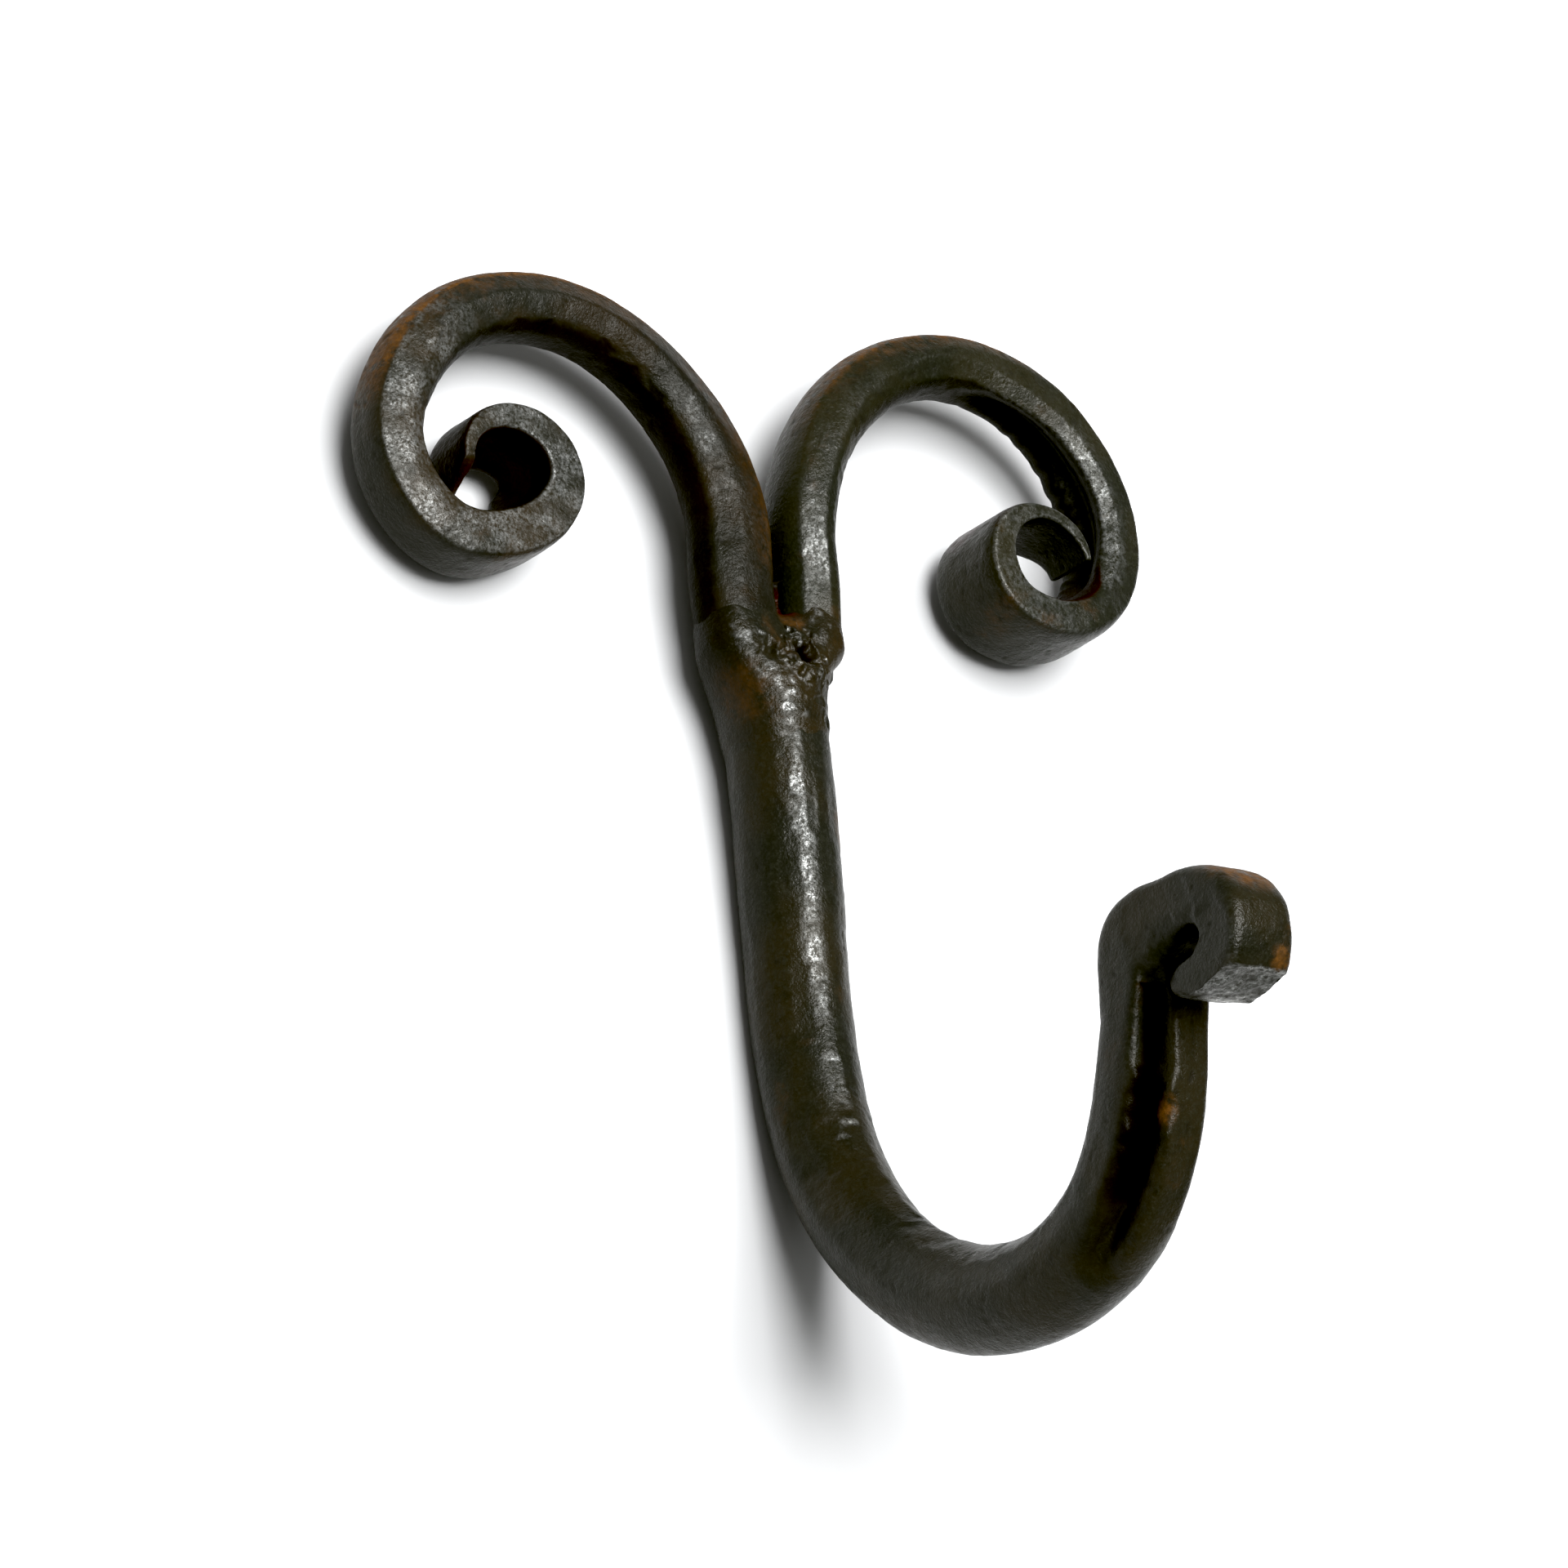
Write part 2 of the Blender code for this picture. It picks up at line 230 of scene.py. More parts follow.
def left_shape(ab, q, thick, wide):
    """The left horn's own forge work: facets along the front, and walls thicker at the back of the eye."""
    for angle, depth, lo, hi in ((62, 0.42, 20, 120), (104, 0.30, 60, 130), (74, 0.45, 135, 225), (112, 0.25, -10, 40)):
        on = float(window(q, lo, hi, 26))
        if on > 0.02:
            ab = shave(ab, angle, depth * on)
    flare = 2.0 * float(window(q, 310, 470, 45)) + 0.5 * float(window(q, 200, 260, 40))
    if flare > 0:
        inner = ab[:, 0] < 0
        back = step(0.75 * wide, -wide, ab[:, 1])
        ab = ab.copy()
        ab[inner, 0] -= (flare * back)[inner]
    slant = float(step(538, 582, q))                      # the end is cut on a slant: the back runs on further
    if slant > 0:
        ab = ab.copy()
        ab[:, 1] = np.minimum(ab[:, 1], wide - 1.75 * wide * slant)
    return ab


def right_shape(ab, q, thick, wide):
    """The right horn's: front facets, a cold shut past the crest where the strip folded, and a tip that runs out thin."""
    ab = ab.copy()
    fold = float(window(q, 95, 178, 28))
    if fold > 0:
        inner = np.clip(-ab[:, 0] / thick, 0, 1) ** 0.7
        v = ab[:, 1] / wide
        burr = 0.45 * float(noise(np.array([[q * 0.5, 0.0, 0.0]]), 2.2, 811)[0])
        ab[:, 0] += fold * inner * (1.3 * np.exp(-((v + 0.02) / 0.26) ** 2) - (0.35 + burr) * step(-0.25, -0.6, v) - 1.25 * step(0.22, 0.80, v))
    for angle, depth, lo, hi in ((72, 0.45, -30, 50), (112, 0.50, 75, 190), (78, 0.90, 95, 185), (60, 0.40, 30, 80)):
        on = float(window(q, lo, hi, 42))
        if on > 0.02:
            ab = shave(ab, angle, depth * on)
    runs_out = float(step(440, 535, q))
    if runs_out > 0:
        ab[:, 1] = wide - (wide - ab[:, 1]) * (1 - 0.37 * runs_out)
    return ab


def hook_shape(ab, s):
    """The hook's: below the rolled tip the outer arm has a rough hollow, with a flat bank beside it."""
    if s < 1000:
        on, bank = float(window(s, 97.5, 200, 5.5)), float(window(s, 101, 200, 6.0))
    else:
        on = bank = float(1 - step(1001.0, 1003.0, s))
    if on <= 0.01 and bank <= 0.01:
        return ab
    ab = shave(ab, 172, 0.75 * bank, 0.5)
    ab = shave(ab, 128, 0.35 * bank, 0.4)
    rag = noise(np.array([[s * 1.0, 5.0, 0.0], [s * 1.0, 50.0, 0.0], [s * 0.6, 90.0, 0.0]]), 1.7, 821)
    psi = np.degrees(np.arctan2(ab[:, 1], ab[:, 0])) % 360
    d = psi - 216.0 - 4.0 * rag[0]
    across = np.exp(-(np.abs(d) / (17.0 + 5.0 * rag[1])) ** 2.8)
    r = np.linalg.norm(ab, axis=1, keepdims=True)
    return ab * (1 - ((2.3 + 0.5 * rag[2]) * on * across)[:, None] / r)


def horn_grid(h, stations, count, shape=None):
    """Grid of a horn, its turn angle at each station, and each point's place in its section."""
    first, last = h['radius'][0][0], h['radius'][-1][0]
    th = np.linspace(first, last, 4000)
    r = smooth(h['radius'], th)
    x = h['centre'][0] + h['side'] * r * np.cos(np.radians(th))
    z = h['centre'][1] + r * np.sin(np.radians(th))
    run = np.r_[0, np.cumsum(np.hypot(np.diff(x), np.diff(z)) / r[1:] ** 0.25)]
    q = np.interp(np.linspace(0, run[-1], stations), run, th)
    xs, zs = np.interp(q, th, x), np.interp(q, th, z)
    tx = np.interp(q, th, np.gradient(x, th))
    tz = np.interp(q, th, np.gradient(z, th))
    n = np.hypot(tx, tz)
    tx, tz = tx / n, tz / n
    out = smooth(h['out'], q)
    thick, wide, square = smooth(h['thick'], q), smooth(h['wide'], q), smooth(h['square'], q)
    grid = np.empty((stations, count, 3))
    local = np.empty((stations, count, 2))
    bury = np.where(q < 60, 0.76 + 0.24 * step(7.0, 11.5, zs), 1.0)      # the root hides in the weld
    for i in range(stations):
        ab = section(thick[i], wide[i], square[i])
        if shape is not None:
            ab = shape(ab, q[i], thick[i], wide[i])
        ab = flat_cut(ab, 90, float(smooth(h['front'], q[i])) - out[i], 0.35)
        ab[:, 1] = np.maximum(ab[:, 1] + out[i], -WALL + 0.03) - out[i]
        ab = ab * bury[i]
        ab = spread(ab, count)
        across = np.array([tz[i], 0.0, -tx[i]]) * h['side']
        grid[i] = np.array([xs[i], out[i], zs[i]]) + ab[:, :1] * across + ab[:, 1:] * np.array([0, 1.0, 0])
        local[i] = ab
    return grid, q, local


def j_line():
    s = np.linspace(0, J_HEADING[-1][0], 4000)
    a = np.radians(smooth(J_HEADING, s))
    ds = s[1] - s[0]
    mid = (a[1:] + a[:-1]) / 2
    n = np.r_[0, np.cumsum(np.cos(mid) * ds)]
    z = SHANK_TOP + np.r_[0, np.cumsum(np.sin(mid) * ds)]
    return s, n, z


def hook_grid(stations, curl_stations, count, shape=None):
    """Grid of the hook.  Its place along is 0 to J_END on the J and then 1000 + station on the curl."""
    s, n, z = j_line()
    q = np.linspace(0, J_END, stations)
    head = smooth(J_HEADING, q)
    rows, along, local = [], [], []
    for i, v in enumerate(q):
        c, d = math.cos(math.radians(head[i])), math.sin(math.radians(head[i]))
        centre = np.array([0.0, np.interp(v, s, n), np.interp(v, s, z)])
        across = np.array([0.0, -d, c])
        ab = section(float(smooth(J_THICK, v)), float(smooth(J_WIDE, v)), float(smooth(J_SQUARE, v)))
        if shape is not None:
            ab = shape(ab, v)
        p = centre + ab[:, :1] * across + ab[:, 1:] * np.array([1.0, 0, 0])
        p[:, 1] = np.maximum(p[:, 1], -WALL + 0.03)
        both = spread(np.hstack([p, ab]), count)
        rows.append(both[:, :3])
        local.append(both[:, 3:])
        along.append(v)
    k = np.arange(len(CURL), dtype=float)
    t = np.linspace(0, len(CURL) - 1, curl_stations + 1)
    t = t[1:] if abs(t[0]) < 1e-9 else t
    col = lambda f: smooth(list(zip(k, [f(c) for c in CURL])), t)
    outer = np.stack([col(lambda c: c[0][0]), col(lambda c: c[0][1])], 1)
    inner = np.stack([col(lambda c: c[1][0]), col(lambda c: c[1][1])], 1)
    wide, square = col(lambda c: c[2]), col(lambda c: c[3])
    outer = np.vstack([outer, NOSE[0]])
    inner = np.vstack([inner, NOSE[1]])
    wide, square = np.r_[wide, NOSE[2]], np.r_[square, NOSE[3]]
    t = np.r_[t, len(CURL)]
    for o, i, w, p, v in zip(outer, inner, wide, square, t):
        half = (o - i) / 2
        thick = float(np.hypot(*half))
        mid = (o + i) / 2
        across = np.array([0.0, half[0] / thick, half[1] / thick])
        ab = section(thick, float(w), float(p))
        if shape is not None:
            ab = shape(ab, 1000 + v)
        pt = np.array([0.0, mid[0], mid[1]]) + ab[:, :1] * across + ab[:, 1:] * np.array([1.0, 0, 0])
        both = spread(np.hstack([pt, ab]), count)
        rows.append(both[:, :3])
        local.append(both[:, 3:])
        along.append(1000 + v)
    return np.array(rows), np.array(along), np.array(local)


def grid_normals(g):
    du = np.gradient(g, axis=0)
    dv = (np.roll(g, -1, 1) - np.roll(g, 1, 1)) / 2
    n = np.cross(du, dv)
    n /= np.maximum(np.linalg.norm(n, axis=2, keepdims=True), 1e-12)
    out = g - g.mean(1, keepdims=True)
    if np.sum(n * out) < 0:
        n = -n
    return n


def bend(g, normals, reach):
    """How much each point stands proud of its neighbours round the bar: edges are positive."""
    near = (np.roll(g, reach, 1) + np.roll(g, -reach, 1)) / 2
    d = np.linalg.norm(np.roll(g, reach, 1) - np.roll(g, -reach, 1), axis=2)
    return np.sum((g - near) * normals, axis=2) / np.maximum(d, 1e-6)


def cap(g, first, rings, soft, dome=0.3):
    """Extra rows that close an end: a broken arris, then smaller and smaller rings."""
    edge = g[0] if first else g[-1]
    inner = g[3] if first else g[-4]
    c = edge.mean(0)
    d = c - inner.mean(0)
    d /= np.linalg.norm(d)
    size = np.abs(edge - c).max()
    rows = []
    for k in range(1, 5):
        a = k / 4 * math.pi / 2
        rows.append(c + (edge - c) * (1 - soft / size * (1 - math.cos(a))) + d * soft * math.sin(a))
    last = rows[-1]
    for k in range(1, rings + 1):
        f = 1 - k / (rings + 0.35)
        rows.append(c + d * soft + (last - c - d * soft) * f + d * dome * (1 - f * f))
    return rows


def make_mesh(name, g, values, closed_ends=True):
    """Mesh of a closed tube of rows, with float attributes for each point."""
    rows, n = g.shape[:2]
    co = g.reshape(-1, 3)
    co = np.stack([co[:, 0], -(co[:, 1] + WALL), co[:, 2]], 1) * MM
    i = np.arange(rows - 1)[:, None] * n
    j = np.arange(n)[None, :]
    k = (j + 1) % n
    quads = np.stack([i + j, i + k, i + n + k, i + n + j], 2).reshape(-1, 4)
    mesh = bpy.data.meshes.new(name)
    faces = quads.tolist() + [list(range(n))[::-1], list(range((rows - 1) * n, rows * n))]
    mesh.from_pydata(co.tolist(), [], faces)
    mesh.validate()
    mesh.update()
    import bmesh
    bm = bmesh.new()
    bm.from_mesh(mesh)
    bmesh.ops.recalc_face_normals(bm, faces=bm.faces)
    bm.to_mesh(mesh)
    bm.free()
    mesh.shade_smooth()
    for key, v in values.items():
        a = mesh.attributes.new(key, 'FLOAT', 'POINT')
        a.data.foreach_set('value', np.asarray(v, np.float32).ravel())
    obj = bpy.data.objects.new(name, mesh)
    bpy.context.scene.collection.objects.link(obj)
    return obj


# ======================================================================
#  Forge work on a grid
# ======================================================================
def hammer(g, seed, count, depth, width):
    """Small flats left by the hammer: each is a plane that presses nearby points down."""
    rng = np.random.default_rng(seed)
    n = grid_normals(g)
    rows, cols = g.shape[:2]
    for _ in range(count):
        i, j = rng.integers(4, rows - 4), rng.integers(0, cols)
        at, normal = g[i, j], n[i, j]
        lo, hi = max(0, i - 40), min(rows, i + 41)
        part = g[lo:hi]
        rel = part - at
        near = np.linalg.norm(rel, axis=2)
        w = rng.uniform(0.7, 1.3) * width
        fall = 1 - step(w * 0.75, w, near)
        over = rel @ normal + rng.uniform(0.3, 1.0) * depth
        facing = (n[lo:hi] @ normal) > 0.6
        ringed = (near < w) & (near > w * 0.5) & facing
        if not ringed.any() or (rel[ringed] @ normal).mean() > -0.1 * depth or (rel[ringed] @ normal).max() > 0.3:
            continue
        g[lo:hi] = part - (np.clip(over, 0, 2 * depth) * fall * facing)[:, :, None] * normal
    return g


def roughen(g, seed, wave=0.10, lump=0.035, grain=0.012, pit=0.05, pit_size=0.75, sparse=0.42):
    """Scale, lumps and corrosion pits of a forged skin."""
    n = grid_normals(g)
    d = wave * fbm(g, 7.5, 2, seed) + lump * fbm(g, 2.1, 2, seed + 5) + grain * noise(g, 0.55, seed + 9)
    hole = noise(g, pit_size, seed + 20) + 0.35 * noise(g, 3.0, seed + 23)
    d -= pit * step(sparse, sparse + 0.35, hole)
    g = g + n * d[:, :, None]
    return g, step(sparse, sparse + 0.3, hole)


def close(g, first_soft, last_soft, first_rings=6, last_rings=6, first_dome=0.1, last_dome=0.1):
    a = cap(g, True, first_rings, first_soft, first_dome)
    b = cap(g, False, last_rings, last_soft, last_dome)
    return np.concatenate([np.array(a[::-1]), g, np.array(b)]), len(a), len(b)


def widen(v, before, after):
    return np.concatenate([np.repeat(v[:1], before, 0), v, np.repeat(v[-1:], after, 0)])


def ball(g, at, size):
    """1 near a point, fading to 0 a few millimetres away."""
    return 1 - step(size * 0.4, size, np.linalg.norm(g - np.array(at), axis=-1))


# ---------------------------------------------------------------- hook
HOOK_ROWS, CURL_ROWS, HOOK_AROUND = 470, 150, 136
hg, hs, hl = hook_grid(HOOK_ROWS, CURL_ROWS, HOOK_AROUND, hook_shape)
turn = np.degrees(np.arctan2(hl[:, :, 1], hl[:, :, 0])) % 360
HS = np.repeat(hs[:, None], hg.shape[1], 1)
# the arm's hollow, painted near-black and without shine
groove = (0.45 * step(92, 95, HS) + 0.55 * step(97, 101, HS + 1.5 * noise(hg, 2.0, 133))) * (HS < 1001.5) \
    * np.exp(-(np.abs(turn - 222 + 5 * noise(hg, 1.1, 135)) / (25.0 - 11.0 * step(106, 110.6, HS))) ** 6)
mouth = np.array([(0, n, z) for n, z in ((55.0, -43.5), (55.7, -42.8), (56.6, -42.1), (57.5, -41.7), (58.4, -41.4), (59.2, -41.3))])
hg = hammer(hg, 11, 240, 0.07, 3.2)
hg, hook_pits = roughen(hg, 100)
under = -46.6 + 0.26 * np.maximum(hg[:, :, 1] - 60.5, 0) + 0.16 * fbm(hg, 1.3, 3, 127) + 0.5 * step(66, 63, hg[:, :, 1])
on_roll = step(1008, 1010, HS)
hg[:, :, 2] += on_roll * (np.maximum(hg[:, :, 2], under) - hg[:, :, 2])
hg[:, :, 1] = np.maximum(hg[:, :, 1], -WALL + 0.02)
hg, nb, na = close(hg, 0.7, 0.45, 5, 8)
hs = widen(hs, nb, na)
hn = grid_normals(hg)
HS = np.repeat(hs[:, None], hg.shape[1], 1)
hook_wear_and_glint = (1 - step(60.0, 72.0, HS)) * 1.05 * step(0.965, 0.998, hn @ np.array([-0.30, 0.94, -0.14]) + 0.012 * noise(hg, 1.6, 131))       # painted highlight: bare, shiny metal in a line down the front, where the lamp's reflection falls
# lighter and shinier on top of the roll; painted highlight lower on the shank, where the lamp's reflection falls
hook_wear_and_glint += 0.6 * ball(hg, (0.0, 60.0, -34.6), 4.4) + 0.5 * ball(hg, (-1.5, 3.5, -40.0), 7.0) * step(0.90, 0.99, hn @ np.array([-0.30, 0.94, -0.05]))
hook_wear_and_glint += 1.3 * window(HS, 1011.5, 1017, 0.6) * step(0.62, 0.90, -hn[:, :, 2])       # filed face under the roll
# painted shade: near-black, without shine, in the gap between the roll's nose and the arm
gap = np.min(np.linalg.norm(hg[:, :, None, 1:] - mouth[None, None, :, 1:], axis=3), axis=2)
groove = np.maximum(widen(groove, nb, na), (1 - step(1.2, 1.8, gap)) * (HS > 100))
hook_rust = 1.5 * ball(hg, (0.5, 62.5, -35.6), 4.6) + ball(hg, (2.2, 65.2, -44.4), 1.7) + 1.4 * ball(hg, (-2.0, 51.3, -54.2), 2.0) + 0.6 * ball(hg, (-3.0, 44.5, -71.0), 2.5) + 0.9 * ball(hg, (4.7, 1.0, -10.0), 4.0)
hook_values = dict(wear_and_glint=hook_wear_and_glint, rust=hook_rust, red=np.zeros(hg.shape[:2]),
                   edge=bend(hg, hn, 3) * (1 - step(86, 92, HS) * (1 - step(1008, 1010, HS))), pit=widen(hook_pits, nb, na), depth_and_shade=groove * (1 - 0.9 * ball(hg, (-2.0, 51.3, -54.2), 1.8)))
hook = make_mesh("forged_hook", hg, hook_values)


# --------------------------------------------------------------- horns
def horn(name, h, seed, stations, count, shape=None):
    g, q, ab = horn_grid(h, stations, count, shape)
    g = hammer(g, seed, 200, 0.045, 2.8)
    g, pits = roughen(g, seed + 50, 0.07)
    g[:, :, 1] = np.maximum(g[:, :, 1], -WALL + 0.02)
    g, nb, na = close(g, 0.5, 0.25, 4, 4)
    q, ab, pits = widen(q, nb, na), widen(ab, nb, na), widen(pits, nb, na)
    n = grid_normals(g)
    Q = np.repeat(q[:, None], g.shape[1], 1)
    facing, outer = np.clip(n[:, :, 1], 0, 1), np.clip(ab[:, :, 0] / 3.0, 0, 1)
    # how nearly each point faces half-way between the lamp and the camera, where the lamp's reflection falls
    toward = n @ np.array([-0.30, 0.94, -0.14])
    if name.endswith("left_horn"):
        # worn bare on the front faces, most on the eye; and a painted highlight on the crest near the fork, where the
        # lamp's reflection falls
        wear_and_glint = step(0.72, 0.92, facing) * (0.06 + 0.52 * window(Q, 130, 520, 30)) + 0.45 * step(0.985, 1.0, toward + 0.01 * noise(g, 1.2, 141)) * window(Q, -40, 10, 45)
    else:
        # painted highlight: shiny bare metal where the horn faces the lamp's reflection, more on the band past the
        # crest and strongest on the crest near the fork; then wear on the eye's front face
        wear_and_glint = step(0.80, 0.97, toward) * (0.08 + 0.50 * window(Q, 125, 195, 25) * (1 - step(-0.6, 0.4, ab[:, :, 0]))) + 0.65 * step(0.978, 0.999, toward + 0.01 * noise(g, 1.2, 143)) * window(Q, -40, 25, 45)
        wear_and_glint += 0.14 * step(0.85, 0.95, facing) * step(230, 260, Q)
    inside = np.clip(-ab[:, :, 0] / 2.0, 0, 1) * (1 - step(0.55, 0.8, facing))
    rust = -1.4 * inside + outer * (window(Q, 60, 190, 50) * step(0.1, 0.6, n[:, :, 2]) * (1 - step(0.75, 0.95, facing)) * (2.0 if name.endswith("left_horn") else 1.4) + (0.5 if name.endswith("left_horn") else 0.0) * window(Q, -8, 24, 12))
    red = inside * (window(Q, 200, 290, 20) if name.endswith("right_horn") else 0.45 * step(330, 400, Q)) + 0.8 * ball(g, (27.6, -1.5, 25.2), 3.6)
    side_wall = 1 - step(0.45, 0.75, np.abs(n[:, :, 1]))
    if name.endswith("left_horn"):
        # painted shade: the inner walls darkened and their shine taken away, and the outer side walls of the eye's last
        # turn too
        depth_and_shade = 0.78 * inside + 0.72 * side_wall * step(450, 500, Q) * (ab[:, :, 0] > 0)
        red += 0.4 * side_wall * step(450, 500, Q)
        # darker and less shiny on the front near the root
        depth_and_shade = np.maximum(depth_and_shade, 0.35 * window(Q, -30, 55, 30) * step(0.8, 0.95, facing))
    else:
        # painted shade: the inner walls darkened and their shine taken away, more round the eye
        depth_and_shade = inside * (0.55 + 0.25 * window(Q, 200, 300, 25))
        red += 0.45 * outer * window(Q, 392, 428, 16) * side_wall
    values = dict(wear_and_glint=wear_and_glint, rust=rust, red=red, edge=bend(g, n, 2), pit=pits, depth_and_shade=depth_and_shade)
    return make_mesh(name, g, values), g, q, ab


left, lg, lq, lab = horn("forged_left_horn", LEFT, 31, 620, 104, left_shape)
right, rg, rq, rab = horn("forged_right_horn", RIGHT, 57, 620, 104, right_shape)


# ---------------------------------------------------------------- weld
def blend_min(a, b, k):
    h = np.clip(0.5 + 0.5 * (b - a) / k, 0, 1)
    return b * (1 - h) + a * h - k * h * (1 - h)


def capsule(p, a, b, ra, rb, flatten=1.0):
    a, b = np.array(a, float), np.array(b, float)
    ab = b - a
    t = np.clip(((p - a) @ ab) / (ab @ ab), 0, 1)
    d = p - a - t[..., None] * ab
    d[..., 1] *= flatten
    return np.linalg.norm(d, axis=-1) - (ra + (rb - ra) * t)


def root_table(h):
    """Height of a horn's centre line near the fork against its place and section there."""
    th = np.linspace(h['radius'][0][0], 20, 200)
    r = smooth(h['radius'], th)
    x = h['centre'][0] + h['side'] * r * np.cos(np.radians(th))
    z = h['centre'][1] + r * np.sin(np.radians(th))
    lean = np.abs(np.gradient(z)) / np.hypot(np.gradient(x), np.gradient(z))
    return z, x, smooth(h['thick'], th) / lean, smooth(h['wide'], th), smooth(h['out'], th)


LEFT_ROOT, RIGHT_ROOT = root_table(LEFT), root_table(RIGHT)


def root_field(p, table, below):
    """Signed distance to a horn's root in its own horizontal slice; below its end the keys below take over."""
    z = p[..., 2]
    cx, ax, an, out = (np.interp(z, table[0], table[k]) for k in (1, 2, 3, 4))
    an = an + 0.28 * (1 - step(8.5, 14.5, z))
    low = 1 - step(table[0][0] - 0.5, table[0][0] + 3.0, z)
    bx, bax, ban = (smooth([(q[0], q[k]) for q in below], z) for k in (1, 2, 3))
    cx, ax, an, out = cx + (bx - cx) * low, ax + (bax - ax) * low, an + (ban - an) * low, out * (1 - low)
    k = 2.3
    d = (np.abs((p[..., 0] - cx) / ax) ** k + np.abs((p[..., 1] - out) / an) ** k) ** (1 / k)
    return (d - 1) * np.minimum(ax, an)


def weld_field(p):
    f = capsule(p, (0, 0, -9), (0.0, 0, 4.0), 5.0, 5.0)
    f = blend_min(f, root_field(p, LEFT_ROOT, [(0.5, -0.6, 4.3, 4.6), (3, -1.6, 4.0, 4.55), (7, -2.9, 4.15, 3.95), (9.5, -3.2, 4.25, 3.6)]), 1.2)
    f = blend_min(f, root_field(p, RIGHT_ROOT, [(1.5, 1.2, 3.2, 3.6), (4.0, 1.9, 3.2, 3.8), (6.5, 3.2, 3.0, 3.6), (8.5, 4.3, 3.15, 3.6), (10, 4.8, 3.25, 3.6)]), 0.9)
    f = blend_min(f, capsule(p, (1.35, 1.6, 10.9), (1.0, 2.5, 4.5), 1.1, 2.3), 0.9)
    f = blend_min(f, capsule(p, (1.35, -1.6, 12.6), (1.0, -2.2, 4.5), 1.2, 2.4), 1.0)
    f = blend_min(f, capsule(p, (6.9, 1.1, 12.4), (6.3, 1.2, 10.2), 1.45, 1.1), 0.7)
    return f


W_ROWS, W_AROUND = 150, 220
zz = np.linspace(-3.5, 15.4, W_ROWS)
ph = 2 * math.pi * np.arange(W_AROUND) / W_AROUND
axis_x = smooth([(-3.5, 0.0), (4, 0.1), (9, 0.9), (15.4, 1.35)], zz)
ZZ, PH = np.meshgrid(zz, ph, indexing='ij')
AX = np.repeat(axis_x[:, None], W_AROUND, 1)
direction = np.stack([np.cos(PH), np.sin(PH), np.zeros_like(PH)], 2)
origin = np.stack([AX, np.zeros_like(AX), ZZ], 2)
rad = np.full(PH.shape, 11.5)
for _ in range(80):
    f = weld_field(origin + direction * rad[:, :, None])
    rad = np.maximum(rad - np.maximum(f * 0.8, 0.0), 0.5)
wg = origin + direction * rad[:, :, None]
ragged = 1.1 * noise(wg, 2.4, 431) + 0.5 * noise(wg, 0.9, 433)
front = step(-1.0, 1.5, wg[:, :, 1])
middle = np.exp(-((wg[:, :, 0] - 1.6) / 4.2) ** 4)
heart = window(ZZ + ragged, 3.8, 11.8, 1.8) * (0.25 + 0.75 * front * middle)     # the lumpy middle of the weld
over = 0.05 - 0.50 * (1 - step(-3.4, 0.6, ZZ)) - 0.60 * step(8.8, 13.8, ZZ + ragged * 0.35)
wn = grid_normals(wg)
over = over + heart * (0.19 * fbm(wg, 2.6, 3, 441) + 0.07 * noise(wg, 0.9, 447) + 0.04)
for x, z, size, depth_and_shade in ((1.4, 6.9, 1.25, 1.15), (-2.6, 7.3, 0.6, 0.4), (-2.9, 6.3, 0.5, 0.3),
                         (2.0, 2.0, 0.35, 0.25), (3.0, 0.2, 0.45, 0.25)):
    near = np.hypot((wg[:, :, 0] - x) / (1.0 if size > 0.4 else 2.6), wg[:, :, 2] - z) * (1 + 0.45 * noise(wg, 0.7, 461))
    over -= depth_and_shade * front * np.exp(-(near / size) ** 2)
    over += 0.35 * depth_and_shade * front * np.exp(-((near - 1.6 * size) / (0.5 * size)) ** 2)
wg = wg + wn * over[:, :, None]
wg[:, :, 1] = np.maximum(wg[:, :, 1], -WALL + 0.02)
wg, nb, na = close(wg, 0.2, 0.2, 6, 10)
weld_n = grid_normals(wg)
# painted highlight: shiny bare glints where the weld faces the lamp's reflection
weld_values = dict(wear_and_glint=step(0.91, 0.985, weld_n @ np.array([-0.30, 0.94, -0.14])) * np.clip(2.6 * noise(wg, 0.9, 471) + 0.30, 0, 1),
                   # painted shade: darker, without shine, in the big pit and down the weld's left side
                   depth_and_shade=np.maximum(ball(wg, (1.4, 4.0, 6.9), 1.9), 0.5 * step(0.35, 0.8, -weld_n[:, :, 0]) * step(1.0, 9.0, wg[:, :, 2])), rust=0.55 * ball(wg, (1.4, 2.7, 11.0), 1.8) + 0.3 * ball(wg, (-5.0, 2.0, 3.0), 4.2), red=ball(wg, (1.35, 0.3, 12.8), 3.2),
                   edge=bend(wg, weld_n, 2), pit=step(0.25, 0.6, noise(wg, 1.3, 473)) * ball(wg, (1.8, 4.0, 6.4), 5.0))
weld = make_mesh("forge_weld", wg, weld_values)


